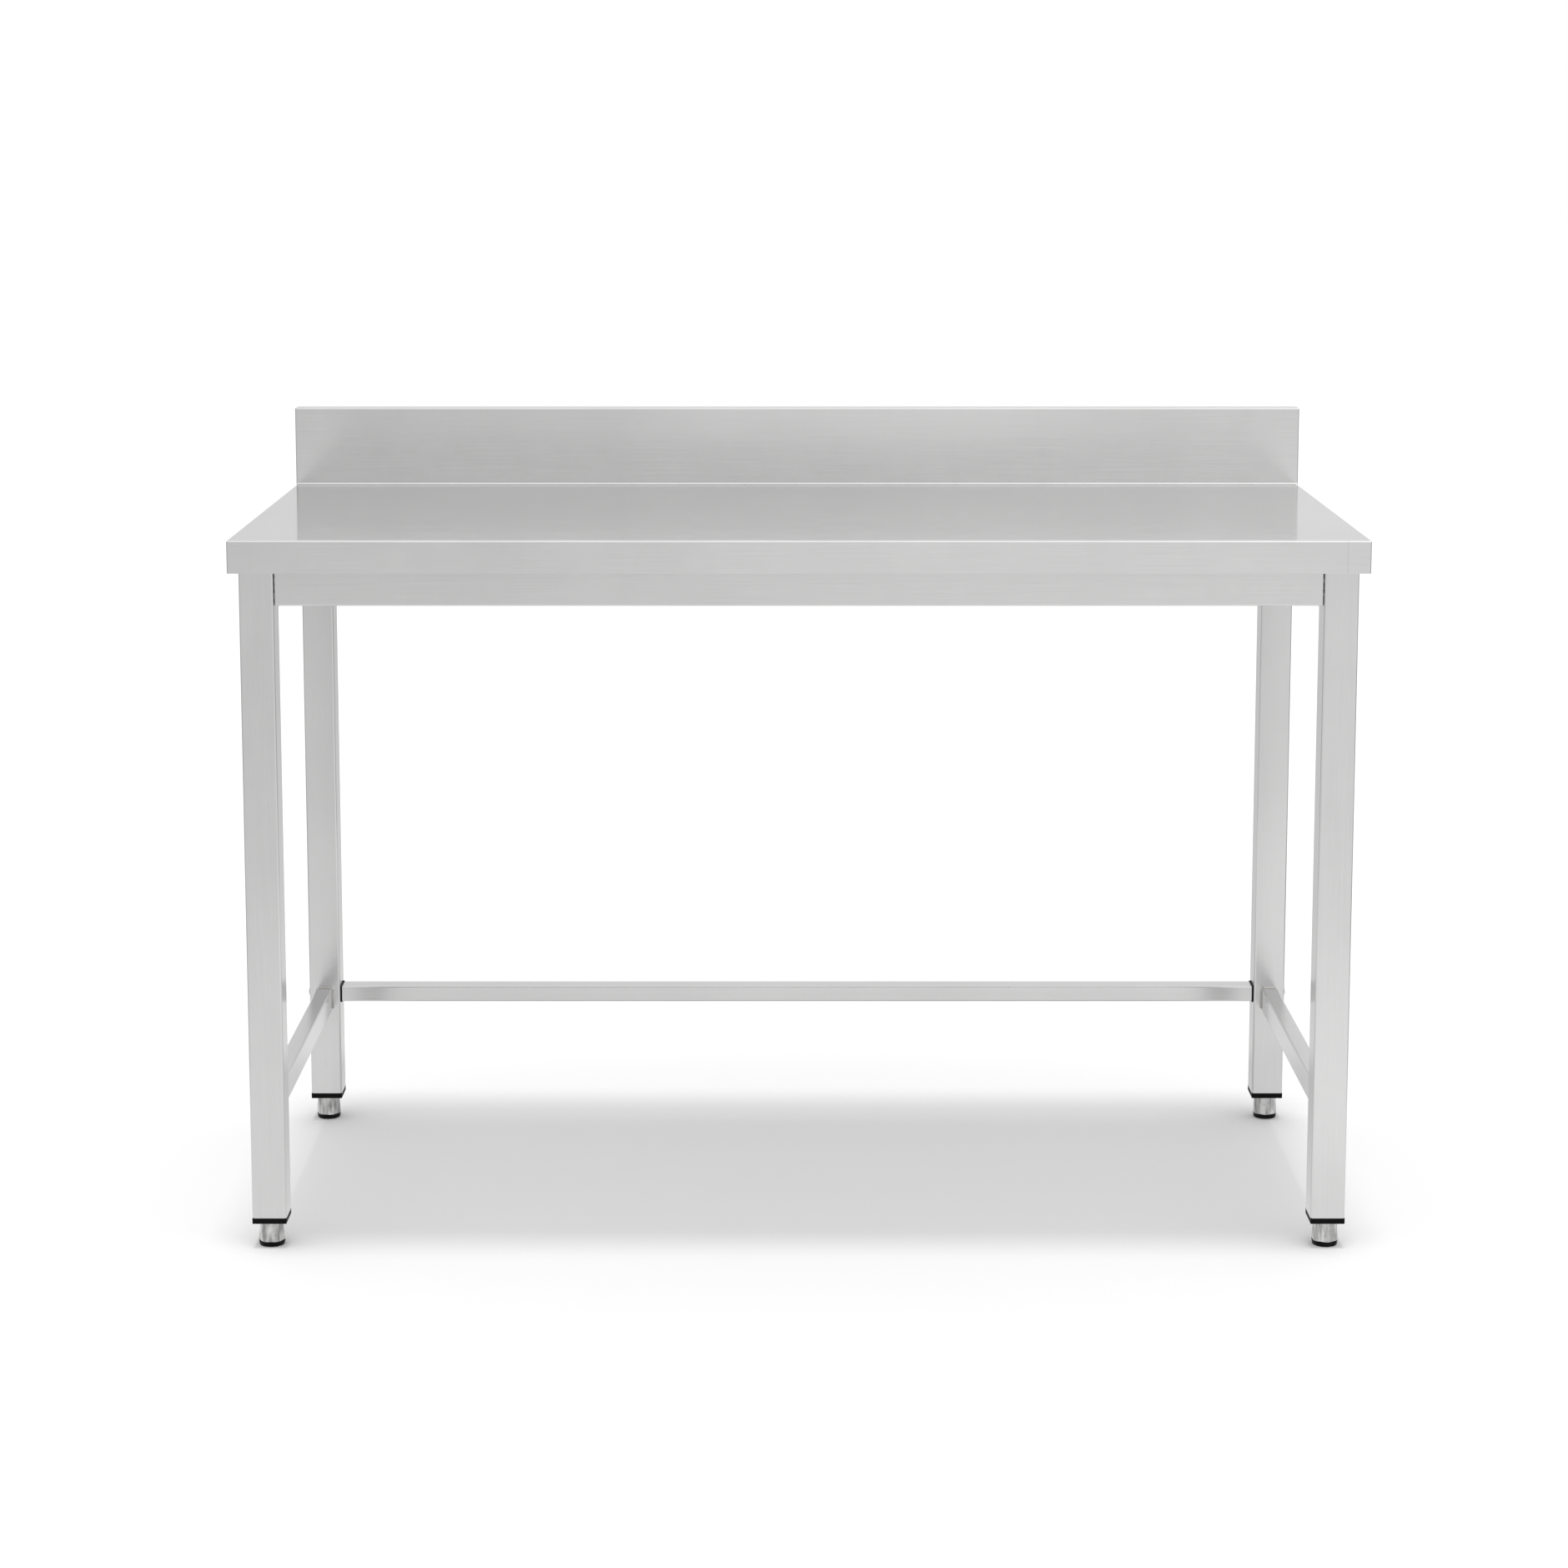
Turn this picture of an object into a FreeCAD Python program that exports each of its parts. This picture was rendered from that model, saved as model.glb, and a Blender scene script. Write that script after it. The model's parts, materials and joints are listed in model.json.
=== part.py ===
import FreeCAD, Part
import os
import re

import Sketcher
from FreeCAD import Placement, Rotation, Vector

# A stainless work table with a rear upstand, in millimetres.
# Two welded end frames (two legs, a rail and a stretcher each) are joined by bolted front and rear
# rails and a bolted rear stretcher. The folded worktop rests on the rails and is screwed to them
# from below. Each leg stands on a foot that screws in and out of an insert in the end of its tube.
# The origin is on the floor under the middle of the table, with +X to the right, +Y to the back.

SIZES = {
    # Worktop, one folded sheet
    "top_length": 1300,
    "top_depth": 600,
    "top_height": 840,
    "skirt_height": 38,
    "upstand_height": 100,
    "upstand_depth": 20,
    "sheet": 1.5,
    "bend_radius": 2.5,
    "return_lip": 15,
    # Stiffeners, hat sections under the worktop
    "stiffener_spacing": 400,
    "hat_width": 60,
    "hat_flange": 20,
    # Frame
    "side_inset": 10,
    "front_inset": 20,
    "leg_size": 40,
    "leg_corner": 2.5,
    "rail_height": 40,
    "rail_depth": 25,
    "rail_corner": 2,
    "stretcher_top": 180,
    "stretcher_thick": 20,
    "stretcher_broad": 30,
    "stretcher_corner": 2,
    # Plugs in the ends of the rear stretcher
    "plug_flange": 2,
    "plug_overhang": 0.6,
    "plug_length": 20,
    "plug_clearance": 0.2,
    # M6 fasteners
    "bolt_diameter": 6,
    "bolt_flats": 10,
    "bolt_head": 4,
    "bolt_spacing": 18,
    "rail_bolt_length": 16,
    "top_screw_length": 12,
    "long_bolt_length": 58,
    "dome_width": 10.5,
    "dome_height": 3.3,
    "dome_round": 2.4,
    "socket_flats": 4,
    "clearance_hole": 6.6,
    "thread_play": 0.05,
    "washer_width": 12,
    "washer_thickness": 1.6,
    "nut_height": 5,
    "rivet_width": 9,
    "rivet_length": 10,
    "rivet_flange": 0.7,
    "rivet_flange_width": 13,
    # Levelling feet
    "foot_height": 37,
    "flange_height": 7,
    "flange_round": 1,
    "insert_clearance": 0.2,
    "insert_length": 50,
    "insert_bore": 30,
    "insert_web": 12,
    "spindle_diameter": 12,
    "spindle_clearance": 0.5,
    "spindle_chamfer": 1,
    "spindle_nut_flats": 19,
    "spindle_nut_height": 8,
    "spindle_bottom": 12,
    "spindle_top": 118,
    "sleeve_diameter": 29,
    "sleeve_wall": 1.2,
    "sleeve_top": 62,
    "hexagon_corners": 31.2,
    "hexagon_top": 21,
    "base_bottom": 0.7,
    "base_top": 6.3,
    "core_top": 45,
    "core_play": 0.1,
    "pad_diameter": 20,
    "pad_height": 3,
    "pad_play": 0.3,
    "pad_round": 0.6,
}

LEFT, RIGHT = -1, 1
FRONT, REAR = -1, 1
SIDES = {"left": LEFT, "right": RIGHT}
# Each corner: left or right, front or rear, and how far its foot stands turned about its own axis.
CORNERS = {
    "front_left": (LEFT, FRONT, 33),
    "front_right": (RIGHT, FRONT, 5),
    "rear_left": (LEFT, REAR, 21),
    "rear_right": (RIGHT, REAR, 0),
}
STIFFENERS = {"left": -1, "middle": 0, "right": 1}

# Distances that several pieces share, as formulas of the sizes above.
FRAME_TOP = "(top_height - skirt_height)"
LEG_X = "(top_length / 2 - side_inset - leg_size / 2)"
LEG_Y = "(top_depth / 2 - front_inset - leg_size / 2)"
BETWEEN_LEGS_X = "(top_length - 2 * side_inset - 2 * leg_size)"
BETWEEN_LEGS_Y = "(top_depth - 2 * front_inset - 2 * leg_size)"
RAIL_BOLT_Y = "(top_depth / 2 - front_inset - rail_depth / 2)"
RAIL_MIDDLE = f"({FRAME_TOP} - rail_height / 2)"
REAR_STRETCHER_Z = "(stretcher_top - stretcher_thick / 2)"

doc = FreeCAD.newDocument("work_table")
spreadsheet = doc.addObject("Spreadsheet::Sheet", "Sizes")
for row, (alias, number) in enumerate(SIZES.items(), 1):
    spreadsheet.set(f"A{row}", alias)
    spreadsheet.set(f"B{row}", str(number))
    spreadsheet.setAlias(f"B{row}", alias)
doc.recompute()

sub_parts = []


def formula(text):
    """A formula of size names, as an expression that reads the spreadsheet."""
    def name(word):
        return f"Sizes.{word[0]}" if word[0] in SIZES else word[0]

    return re.sub(r"[a-z][a-z_]+", name, str(text))


def bind(item, **formulas):
    for name, text in formulas.items():
        item.setExpression(name, formula(text))


def place(item, x=0, y=0, z=0, turn=Rotation()):
    item.Placement = Placement(Vector(), turn)
    for axis, text in zip("xyz", (x, y, z)):
        item.setExpression(f".Placement.Base.{axis}", formula(text))


def finished(item, label):
    """Gives a sub-part the name that it is written under."""
    item.Label = label
    sub_parts.append(item)
    return item


def about_z(degrees):
    return Rotation(Vector(0, 0, 1), degrees)


def towards(side):
    """Turns a fastener that points along +Z so that it points to the left or right."""
    return Rotation(Vector(0, 1, 0), 90 * side)


# Sketched bodies


def new_body(name):
    return doc.addObject("PartDesign::Body", name)


def new_sketch(body, plane, offset):
    origin_plane = next(item for item in body.Origin.OriginFeatures if item.Role == f"{plane}_Plane")
    sketch = body.newObject("Sketcher::SketchObject", "Sketch")
    sketch.AttachmentSupport = [(origin_plane, "")]
    sketch.MapMode = "FlatFace"
    sketch.setExpression(".AttachmentOffset.Base.z", formula(offset))
    return sketch


def pin(sketch, geometry, point, x, y):
    """Holds one point of a sketch at x, y from the sketch's origin."""
    for kind, text in (("DistanceX", x), ("DistanceY", y)):
        number = sketch.addConstraint(Sketcher.Constraint(kind, -1, 1, geometry, point, 1.0))
        sketch.setExpression(f"Constraints[{number}]", formula(text))


def outline(body, plane, corners, offset=0):
    """A closed sketch with straight sides through the corners."""
    sketch = new_sketch(body, plane, offset)
    count = len(corners)
    for index in range(count):
        start = Vector(index, index * index, 0)
        end = Vector(index + 1, (index + 1) ** 2, 0)
        sketch.addGeometry(Part.LineSegment(start, end))
    for index in range(count):
        sketch.addConstraint(Sketcher.Constraint("Coincident", index, 2, (index + 1) % count, 1))
    for index, (x, y) in enumerate(corners):
        pin(sketch, index, 1, x, y)
    return sketch


def rectangle(width, height, x=0, y=0):
    """The corners of a rectangle centred on x, y."""
    left, right = f"{x} - ({width}) / 2", f"{x} + ({width}) / 2"
    low, high = f"{y} - ({height}) / 2", f"{y} + ({height}) / 2"
    return [(left, low), (right, low), (right, high), (left, high)]


def hexagon(flats):
    """The corners of a hexagon, given the distance across its flats."""
    return [(f"({flats}) / sqrt(3) * cos({turn} deg)", f"({flats}) / sqrt(3) * sin({turn} deg)")
            for turn in range(0, 360, 60)]


def circles(body, plane, centres, diameter, offset=0):
    sketch = new_sketch(body, plane, offset)
    for index, (x, y) in enumerate(centres):
        sketch.addGeometry(Part.Circle(Vector(index, 0, 0), Vector(0, 0, 1), 1))
        pin(sketch, index, 3, x, y)
        number = sketch.addConstraint(Sketcher.Constraint("Diameter", index, 2.0))
        sketch.setExpression(f"Constraints[{number}]", formula(diameter))
    return sketch


def extrude(kind, body, sketch, length, sides, reverse):
    feature = body.newObject(f"PartDesign::{kind}", kind)
    feature.Profile = sketch
    feature.SideType = sides
    feature.Reversed = reverse
    bind(feature, Length=length)
    doc.recompute()
    return feature


def pad(body, sketch, length, sides="One side", reverse=False):
    return extrude("Pad", body, sketch, length, sides, reverse)


def pocket(body, sketch, length, sides="One side", reverse=False):
    """Cuts away, and stops the build if nothing was cut."""
    before = body.Shape.Volume
    feature = extrude("Pocket", body, sketch, length, sides, reverse)
    if body.Shape.Volume > before - 1e-3:
        raise RuntimeError(f"{body.Name}: {feature.Name} cuts nothing")
    return feature


def dress(kind, body, radius, wanted):
    """Rounds or chamfers the edges of a body whose bounding boxes are wanted."""
    base = body.Tip
    names = [f"Edge{number}" for number, edge in enumerate(base.Shape.Edges, 1) if wanted(edge.BoundBox)]
    feature = body.newObject(f"PartDesign::{kind}", kind)
    feature.Base = (base, names)
    bind(feature, **{"Radius" if kind == "Fillet" else "Size": radius})
    doc.recompute()


def near(number, other):
    return abs(number - other) < 1e-3


# Primitives and booleans


def cylinder(diameter, height, z=0):
    item = doc.addObject("Part::Cylinder", "Cylinder")
    bind(item, Radius=f"({diameter}) / 2", Height=height)
    place(item, z=z)
    return item


def hexagonal_bar(flats, height, z=0, turn=0):
    item = doc.addObject("Part::Prism", "HexagonalBar")
    item.Polygon = 6
    bind(item, Circumradius=f"({flats}) / sqrt(3)", Height=height)
    place(item, z=z, turn=about_z(turn))
    return item


def cone(lower, upper, height, z=0):
    item = doc.addObject("Part::Cone", "Cone")
    bind(item, Radius1=f"({lower}) / 2", Radius2=f"({upper}) / 2", Height=height)
    place(item, z=z)
    return item


def boolean(kind, first, second):
    item = doc.addObject(f"Part::{kind}", kind)
    item.Base = first
    item.Tool = second
    return item


def joined(first, *others):
    for other in others:
        first = boolean("Fuse", first, other)
    return first


def cut(first, *others):
    for other in others:
        first = boolean("Cut", first, other)
    return first


def common(first, second):
    return boolean("Common", first, second)


def group(label, pattern, spots):
    """One node of identical fasteners: a link to the pattern at each (x, y, z, turn)."""
    links = []
    for x, y, z, turn in spots:
        link = doc.addObject("App::Link", f"{label}_link")
        link.LinkedObject = pattern
        place(link, x, y, z, turn)
        links.append(link)
    compound = doc.addObject("Part::Compound", label)
    compound.Links = links
    return finished(compound, label)


# Worktop


def make_worktop():
    """One sheet folded into a skirt, the top, the upstand and the back wall, with welded ends."""
    body = new_body("worktop")
    front, rear = "-top_depth / 2", "top_depth / 2"
    step = f"{rear} - upstand_depth"
    crest = "skirt_height + upstand_height"
    outside = [
        (front, 0),
        (front, "skirt_height"),
        (step, "skirt_height"),
        (step, crest),
        (rear, crest),
        (rear, 0),
    ]
    pad(body, outline(body, "YZ", outside), "top_length", "Symmetric")
    dress("Fillet", body, "bend_radius", worktop_bend)
    inside = [
        (f"{front} + sheet", "sheet"),
        (f"{front} + sheet", "skirt_height - sheet"),
        (f"{step} + sheet", "skirt_height - sheet"),
        (f"{step} + sheet", f"{crest} - sheet"),
        (f"{rear} - sheet", f"{crest} - sheet"),
        (f"{rear} - sheet", "sheet"),
    ]
    pocket(body, outline(body, "YZ", inside), "top_length - 2 * sheet", "Symmetric")
    opening = rectangle("top_length - 2 * return_lip", "top_depth - 2 * return_lip")
    pocket(body, outline(body, "XY", opening), "2 * sheet", reverse=True)
    place(body, z=FRAME_TOP)
    return finished(body, "worktop")


def worktop_bend(box):
    """Every edge of the folded block but the open lower rim and the seams of the back wall."""
    on_rim = near(box.ZMax, 0)
    at_back = near(box.YMin, SIZES["top_depth"] / 2) and box.ZLength > 1
    return not on_rim and not at_back


def make_stiffener(name, step):
    """A hat section from the front rail to the rear rail, with its crown down on them."""
    body = new_body("stiffener")
    half, brim = "hat_width / 2", "hat_width / 2 + hat_flange"
    tall = "skirt_height - sheet"
    right_half = [
        (f"{half} - sheet", "sheet"),
        (f"{half} - sheet", tall),
        (brim, tall),
        (brim, f"{tall} - sheet"),
        (half, f"{tall} - sheet"),
        (half, 0),
    ]
    left_half = [(f"-({x})", z) for x, z in reversed(right_half)]
    pad(body, outline(body, "XZ", right_half + left_half), "top_depth - 2 * front_inset", "Symmetric")
    holes = [(0, f"-{RAIL_BOLT_Y}"), (0, RAIL_BOLT_Y)]
    pocket(body, circles(body, "XY", holes, "clearance_hole"), "sheet", reverse=True)
    place(body, x=f"{step} * stiffener_spacing", z=FRAME_TOP)
    return finished(body, f"stiffener_{name}")


# Frame


def make_rail(label, length, bolted, x=0, y=0, turn=0):
    """A folded channel with closed ends, open towards the middle of the table."""
    body = new_body(label)
    block = [(0, "-rail_height / 2"), (0, "rail_height / 2"),
             ("-rail_depth", "rail_height / 2"), ("-rail_depth", "-rail_height / 2")]
    pad(body, outline(body, "YZ", block), length, "Symmetric")
    outer_face = -SIZES["rail_depth"]
    dress("Fillet", body, "rail_corner", lambda box: near(box.YMax, outer_face))
    hollow = rectangle(f"{length} - 2 * sheet", "rail_height - 2 * sheet")
    pocket(body, outline(body, "XZ", hollow), "rail_depth - sheet", reverse=True)
    if bolted:
        ends = [("-rail_depth / 2", f"{sign} * bolt_spacing / 2") for sign in (-1, 1)]
        pocket(body, circles(body, "YZ", ends, "clearance_hole"), length, "Symmetric")
        top = [(f"{step} * stiffener_spacing", "-rail_depth / 2") for step in STIFFENERS.values()]
        pocket(body, circles(body, "XY", top, "clearance_hole"), "rail_height", reverse=True)
    place(body, x, y, RAIL_MIDDLE, about_z(turn))
    return finished(body, label)


def make_leg(name, side, end):
    """A square tube with holes for the rivet nuts, and in a rear leg for the stretcher's bolt."""
    body = new_body("leg")
    length = f"{FRAME_TOP} - foot_height"
    pad(body, outline(body, "XY", rectangle("leg_size", "leg_size")), length)
    dress("Fillet", body, "leg_corner", lambda box: box.ZLength > 1)
    bore = rectangle("leg_size - 2 * sheet", "leg_size - 2 * sheet")
    pocket(body, outline(body, "XY", bore), length, reverse=True)
    corner = SIZES["leg_size"] / 2 - SIZES["sheet"]
    dress("Fillet", body, "leg_corner - sheet",
          lambda box: box.ZLength > 1 and near(abs(box.XMin), corner) and near(abs(box.YMin), corner))
    bolt_y = f"{end} * (leg_size - rail_depth) / 2"
    bolts = [(bolt_y, f"{length} - rail_height / 2 + {sign} * bolt_spacing / 2") for sign in (-1, 1)]
    rivet_holes = circles(body, "YZ", bolts, "rivet_width + 2 * thread_play")
    pocket(body, rivet_holes, "leg_size", reverse=side == LEFT)
    if end == REAR:
        through = circles(body, "YZ", [(0, f"{REAR_STRETCHER_Z} - foot_height")], "clearance_hole")
        pocket(body, through, "2 * leg_size", "Symmetric")
    place(body, f"{side} * {LEG_X}", f"{end} * {LEG_Y}", "foot_height")
    return finished(body, f"leg_{name}")


def make_tube(label, wide, high, length, x, y, z, turn=0):
    """A rectangular tube that runs along Y before it is turned."""
    body = new_body(label)
    pad(body, outline(body, "XZ", rectangle(wide, high)), length, "Symmetric")
    dress("Fillet", body, "stretcher_corner", lambda box: box.YLength > 1)
    bore = rectangle(f"{wide} - 2 * sheet", f"{high} - 2 * sheet")
    pocket(body, outline(body, "XZ", bore), length, "Symmetric")
    place(body, x, y, z, about_z(turn))
    return finished(body, label)


def make_stretcher_plug(name, side):
    """A plug that closes one end of the rear stretcher and holds the nut of its bolt."""
    body = new_body("plug")
    wall = "2 * (sheet + plug_clearance)"
    flange = rectangle("stretcher_broad + 2 * plug_overhang", "stretcher_thick + 2 * plug_overhang")
    pad(body, outline(body, "YZ", flange), "plug_flange")
    stem = rectangle(f"stretcher_broad - {wall}", f"stretcher_thick - {wall}")
    pad(body, outline(body, "YZ", stem), "plug_length")
    pocket(body, circles(body, "YZ", [(0, 0)], "clearance_hole"), "plug_length", reverse=True)
    seat = rectangle("bolt_flats + 2 * plug_clearance", "2 * (bolt_flats / sqrt(3) + plug_clearance)")
    nut_seat = outline(body, "YZ", seat, "plug_length - nut_height")
    pocket(body, nut_seat, "nut_height", reverse=True)
    turn = about_z(180 if side == RIGHT else 0)
    place(body, f"{side} * {BETWEEN_LEGS_X} / 2", LEG_Y, REAR_STRETCHER_Z, turn)
    return finished(body, f"stretcher_plug_{name}")


# Fasteners: each pattern points along +Z, with its seat at the origin


def hex_bolt(length):
    head = hexagonal_bar("bolt_flats", "bolt_head", "-bolt_head")
    return joined(head, cylinder("bolt_diameter", length))


def dome_bolt(length):
    head = cylinder("dome_width", "dome_height", "-dome_height")
    doc.recompute()
    dome = doc.addObject("Part::Fillet", "Dome")
    dome.Base = head
    rim = next(number for number, edge in enumerate(head.Shape.Edges, 1)
               if near(edge.BoundBox.ZMax, -SIZES["dome_height"]))
    dome.Edges = [(rim, SIZES["dome_round"], SIZES["dome_round"])]
    socket = hexagonal_bar("socket_flats", "dome_height / 2", "-dome_height")
    return cut(joined(dome, cylinder("bolt_diameter", length)), socket)


def hex_nut(flats, height, thread):
    return cut(hexagonal_bar(flats, height), cylinder(f"{thread} + 2 * thread_play", height))


def washer():
    return cut(cylinder("washer_width", "washer_thickness"), cylinder("clearance_hole", "washer_thickness"))


def rivet_nut():
    flange = cylinder("rivet_flange_width", "rivet_flange", "-rivet_flange")
    bore = cylinder("bolt_diameter + 2 * thread_play", "rivet_flange + rivet_length", "-rivet_flange")
    return cut(joined(flange, cylinder("rivet_width", "rivet_length")), bore)


def rail_bolt_spots(distance):
    """Two spots, one above the other, at each end of the front and rear rails."""
    spots = []
    for side in (LEFT, RIGHT):
        for end in (FRONT, REAR):
            for level in (-1, 1):
                height = f"{RAIL_MIDDLE} + {level} * bolt_spacing / 2"
                spots.append((f"{side} * ({distance})", f"{end} * {RAIL_BOLT_Y}", height, towards(side)))
    return spots


def stiffener_spots(height):
    """One spot at each end of each stiffener."""
    return [(f"{step} * stiffener_spacing", f"{end} * {RAIL_BOLT_Y}", height, Rotation())
            for step in STIFFENERS.values() for end in (FRONT, REAR)]


def make_fasteners():
    leg_face = f"{BETWEEN_LEGS_X} / 2"
    tab_face = f"{leg_face} - rivet_flange - sheet"
    flat_washer = washer()
    small_nut = hex_nut("bolt_flats", "nut_height", "bolt_diameter")
    group("leg_rivet_nuts", rivet_nut(), rail_bolt_spots(leg_face))
    group("rail_bolt_washers", flat_washer, rail_bolt_spots(f"{tab_face} - washer_thickness"))
    group("rail_bolts", hex_bolt("rail_bolt_length"), rail_bolt_spots(f"{tab_face} - washer_thickness"))

    under_rail_top = f"{FRAME_TOP} - sheet - washer_thickness"
    group("stiffener_nuts", small_nut, stiffener_spots(f"{FRAME_TOP} + sheet"))
    group("worktop_screw_washers", flat_washer, stiffener_spots(under_rail_top))
    group("worktop_screws", hex_bolt("top_screw_length"), stiffener_spots(under_rail_top))

    bolt_seat = f"{leg_face} + leg_size"
    nut_seat = f"{leg_face} - plug_length + nut_height"
    group("stretcher_bolts", dome_bolt("long_bolt_length"),
          [(f"{side} * ({bolt_seat})", LEG_Y, REAR_STRETCHER_Z, towards(-side)) for side in (LEFT, RIGHT)])
    group("stretcher_nuts", small_nut,
          [(f"{side} * ({nut_seat})", LEG_Y, REAR_STRETCHER_Z, towards(-side)) for side in (LEFT, RIGHT)])


# Levelling feet


def make_foot_insert():
    """The plug in the end of a leg: a flange under the tube, a bore for the sleeve, a seat for the nut."""
    body = new_body("insert")
    stem = "leg_size - 2 * (sheet + insert_clearance)"
    pad(body, outline(body, "XY", rectangle("leg_size", "leg_size")), "flange_height", reverse=True)
    flange_bottom = -SIZES["flange_height"]
    dress("Fillet", body, "flange_round", lambda box: near(box.ZMax, flange_bottom))
    pad(body, outline(body, "XY", rectangle(stem, stem)), "insert_length")
    dress("Fillet", body, "leg_corner - sheet", lambda box: near(box.ZMin, 0) and box.ZLength > 1)
    bore = circles(body, "XY", [(0, 0)], "insert_bore", "-flange_height")
    pocket(body, bore, "flange_height + insert_length - insert_web", reverse=True)
    rod_hole = circles(body, "XY", [(0, 0)], "spindle_diameter + 2 * spindle_clearance")
    pocket(body, rod_hole, "insert_length", reverse=True)
    seat = hexagon("spindle_nut_flats + 2 * insert_clearance")
    nut_seat = outline(body, "XY", seat, "insert_length - spindle_nut_height")
    pocket(body, nut_seat, "spindle_nut_height", reverse=True)
    return body


def make_foot_spindle():
    """The threaded rod, drawn plain."""
    body = new_body("spindle")
    rod = circles(body, "XY", [(0, 0)], "spindle_diameter", "spindle_bottom")
    pad(body, rod, "spindle_top - spindle_bottom")
    top = SIZES["spindle_top"]
    dress("Chamfer", body, "spindle_chamfer", lambda box: near(box.ZMin, top))
    return body


def make_foot_core(turn):
    """The moulded core: a hexagonal base, a stem in the sleeve, a hole for the rod, a recess below."""
    base_height = "base_top - base_bottom"
    lead_in = cone("sleeve_diameter", "hexagon_corners", base_height, "base_bottom")
    base = common(hexagonal_bar("sleeve_diameter", base_height, "base_bottom", turn), lead_in)
    stem = cylinder("sleeve_diameter - 2 * sleeve_wall - 2 * core_play", "core_top - base_top", "base_top")
    rod_hole = cylinder("spindle_diameter + 2 * thread_play", "core_top - spindle_bottom", "spindle_bottom")
    recess = cylinder("pad_diameter + 2 * pad_play", "pad_height - base_bottom", "base_bottom")
    return cut(joined(base, stem), rod_hole, recess)


def make_foot_sleeve(turn):
    """A steel sleeve, round above and pressed out to a rounded hexagon below, for a spanner."""
    hexagon_height = "hexagon_top - base_top"
    shoulder = cone("hexagon_corners", "sleeve_diameter", hexagon_height, "base_top")
    lower = common(hexagonal_bar("sleeve_diameter", hexagon_height, "base_top", turn), shoulder)
    tube_height = "sleeve_top - base_top"
    tube = cylinder("sleeve_diameter", tube_height, "base_top")
    bore = cylinder("sleeve_diameter - 2 * sleeve_wall", tube_height, "base_top")
    return cut(joined(lower, tube), bore)


def make_foot_pad():
    """The round pad on the floor, in the recess of the core."""
    body = new_body("pad")
    pad(body, circles(body, "XY", [(0, 0)], "pad_diameter"), "pad_height")
    dress("Fillet", body, "pad_round", lambda box: near(box.ZMax, 0))
    return body


def make_foot(name, side, end, turn):
    # A hexagon's first corner is at +X, and the turn is counted from the front.
    hexagon_turn = turn + 30
    on_floor = {
        "spindle": make_foot_spindle(),
        "core": make_foot_core(hexagon_turn),
        "sleeve": make_foot_sleeve(hexagon_turn),
        "pad": make_foot_pad(),
    }
    x, y = f"{side} * {LEG_X}", f"{end} * {LEG_Y}"
    for piece, item in on_floor.items():
        place(item, x, y)
        finished(item, f"foot_{piece}_{name}")
    insert = make_foot_insert()
    place(insert, x, y, "foot_height")
    finished(insert, f"foot_insert_{name}")
    nut = hex_nut("spindle_nut_flats", "spindle_nut_height", "spindle_diameter")
    place(nut, x, y, "foot_height + insert_length - spindle_nut_height")
    finished(nut, f"foot_nut_{name}")


def make_table():
    make_worktop()
    for name, step in STIFFENERS.items():
        make_stiffener(name, step)

    long_rail = f"({BETWEEN_LEGS_X} - 2 * rivet_flange)"
    open_edge_y = "top_depth / 2 - front_inset - rail_depth"
    open_edge_x = "top_length / 2 - side_inset - rail_depth"
    make_rail("front_rail", long_rail, True, y=f"-({open_edge_y})")
    make_rail("rear_rail", long_rail, True, y=open_edge_y, turn=180)
    for name, side in SIDES.items():
        make_rail(f"{name}_rail", BETWEEN_LEGS_Y, False, x=f"{side} * ({open_edge_x})", turn=90 * side)

    for name, side in SIDES.items():
        make_tube(f"{name}_stretcher", "stretcher_thick", "stretcher_broad", BETWEEN_LEGS_Y,
                  f"{side} * {LEG_X}", 0, "stretcher_top - stretcher_broad / 2")
        make_stretcher_plug(name, side)
    make_tube("rear_stretcher", "stretcher_broad", "stretcher_thick", f"({BETWEEN_LEGS_X} - 2 * plug_flange)",
              0, LEG_Y, REAR_STRETCHER_Z, 90)

    for name, (side, end, turn) in CORNERS.items():
        make_leg(name, side, end)
        make_foot(name, side, end, turn)
    make_fasteners()


def check_and_write():
    """Writes parts/NAME.step for each sub-part, once the whole document is sound."""
    doc.recompute()
    failed = [item.Label for item in doc.Objects if {"Invalid", "Error"} & set(item.State)]
    if failed:
        raise RuntimeError(f"failed objects: {failed}")
    for item in sub_parts:
        if item.Shape.isNull() or not item.Shape.isValid() or not item.Shape.Solids:
            raise RuntimeError(f"{item.Label} has no valid solid")
    os.makedirs("parts", exist_ok=True)
    for item in sub_parts:
        item.Shape.exportStep(f"parts/{item.Label}.step")
        print(f"{item.Label}: {len(item.Shape.Solids)} solid(s), {item.Shape.Volume:.0f} mm3")


make_table()
check_and_write()
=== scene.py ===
import json
import math

import bmesh
import bpy
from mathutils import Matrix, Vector, noise

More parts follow.
